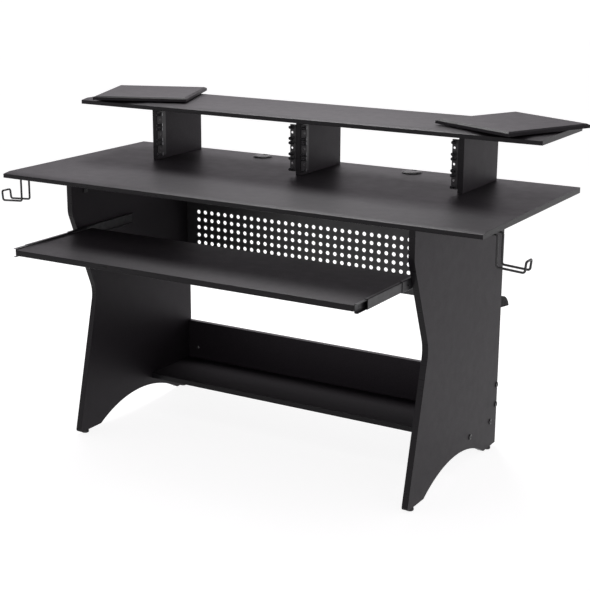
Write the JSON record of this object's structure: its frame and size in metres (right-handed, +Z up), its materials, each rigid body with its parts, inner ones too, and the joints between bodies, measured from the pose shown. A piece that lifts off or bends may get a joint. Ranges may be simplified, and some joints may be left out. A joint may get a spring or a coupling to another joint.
{
  "type": "studio desk",
  "caption": "Black studio desk with a raised rack shelf, swivelling speaker platforms, a sliding keyboard tray, a perforated panel and headphone hooks.",
  "frame": {"origin": "on the floor, under the middle of the desk's whole length and depth with the tray pulled out", "axes": "+X along the desk to the player's right, +Y away from the player, +Z up"},
  "size_m": [1.668, 0.932, 0.9749],
  "materials": {
    "black_board": "satin",
    "black_steel": "satin",
    "zinc_steel": "satin",
    "black_plastic": "matte"
  },
  "bodies": {
    "desk": {"desk_top": "black_board", "top_shelf": "black_board", "riser_left": "black_board", "riser_centre": "black_board", "riser_right": "black_board", "lower_shelf": "black_board", "lower_back_panel": "black_board", "perforated_panel": "black_steel", "side_panel_left": "black_board", "slide_outer_left": "black_steel", "headphone_hook_left": "black_steel", "hook_strap_left": "black_steel", "grommet_sleeve_left": "black_plastic", "swivel_base_left": "zinc_steel", "wall_bumper_left": "black_plastic", "glide_front_left": "black_plastic", "angle_bracket_front_left": "black_steel", "glide_rear_left": "black_plastic", "angle_bracket_rear_left": "black_steel", "bolt_shelf_front_left": "black_steel", "bolt_shelf_rear_left": "black_steel", "bolt_back_lower_left": "black_steel", "bolt_back_upper_left": "black_steel", "side_panel_right": "black_board", "slide_outer_right": "black_steel", "headphone_hook_right": "black_steel", "hook_strap_right": "black_steel", "grommet_sleeve_right": "black_plastic", "swivel_base_right": "zinc_steel", "wall_bumper_right": "black_plastic", "glide_front_right": "black_plastic", "angle_bracket_front_right": "black_steel", "glide_rear_right": "black_plastic", "angle_bracket_rear_right": "black_steel", "bolt_shelf_front_right": "black_steel", "bolt_shelf_rear_right": "black_steel", "bolt_back_lower_right": "black_steel", "bolt_back_upper_right": "black_steel", "rack_rail_left_bay_left": "black_steel", "rack_rail_left_bay_right": "black_steel", "rack_rail_right_bay_left": "black_steel", "rack_rail_right_bay_right": "black_steel"},
    "tray": {"keyboard_tray": "black_board", "slide_inner_left": "black_steel", "slide_inner_right": "black_steel"},
    "slide_middle_left": {"slide_middle_left": "black_steel"},
    "platform_left": {"speaker_platform_left": "black_board", "swivel_plate_left": "zinc_steel"},
    "grommet_cap_left": {"grommet_cap_left": "black_plastic"},
    "slide_middle_right": {"slide_middle_right": "black_steel"},
    "platform_right": {"speaker_platform_right": "black_board", "swivel_plate_right": "zinc_steel"},
    "grommet_cap_right": {"grommet_cap_right": "black_plastic"}
  },
  "joints": [
    {"name": "tray_slide", "type": "slide", "parent": "desk", "child": "tray", "axis": [0, -1, 0], "range_m": [-0.229, 0.061]},
    {"name": "slide_middle_left_slide", "type": "slide", "parent": "desk", "child": "slide_middle_left", "axis": [0, -1, 0], "range_m": [-0.18091, 0.04819]},
    {"name": "slide_middle_right_slide", "type": "slide", "parent": "desk", "child": "slide_middle_right", "axis": [0, -1, 0], "range_m": [-0.18091, 0.04819]},
    {"name": "platform_left_swivel", "type": "hinge", "parent": "desk", "child": "platform_left", "pos_m": [-0.601, 0.27102, 0.962], "axis": [0, 0, 1], "range_deg": [-67, 23]},
    {"name": "platform_right_swivel", "type": "hinge", "parent": "desk", "child": "platform_right", "pos_m": [0.601, 0.27102, 0.962], "axis": [0, 0, 1], "range_deg": [-20, 70]},
    {"name": "grommet_cap_left_turn", "type": "hinge", "parent": "desk", "child": "grommet_cap_left", "pos_m": [-0.256, 0.37502, 0.787], "axis": [0, 0, 1], "continuous": true},
    {"name": "grommet_cap_right_turn", "type": "hinge", "parent": "desk", "child": "grommet_cap_right", "pos_m": [0.256, 0.37502, 0.787], "axis": [0, 0, 1], "continuous": true}
  ],
  "couplings": [
    {"joint": "slide_middle_left_slide", "follows": "tray_slide", "ratio": 0.79},
    {"joint": "slide_middle_right_slide", "follows": "tray_slide", "ratio": 0.79}
  ]
}
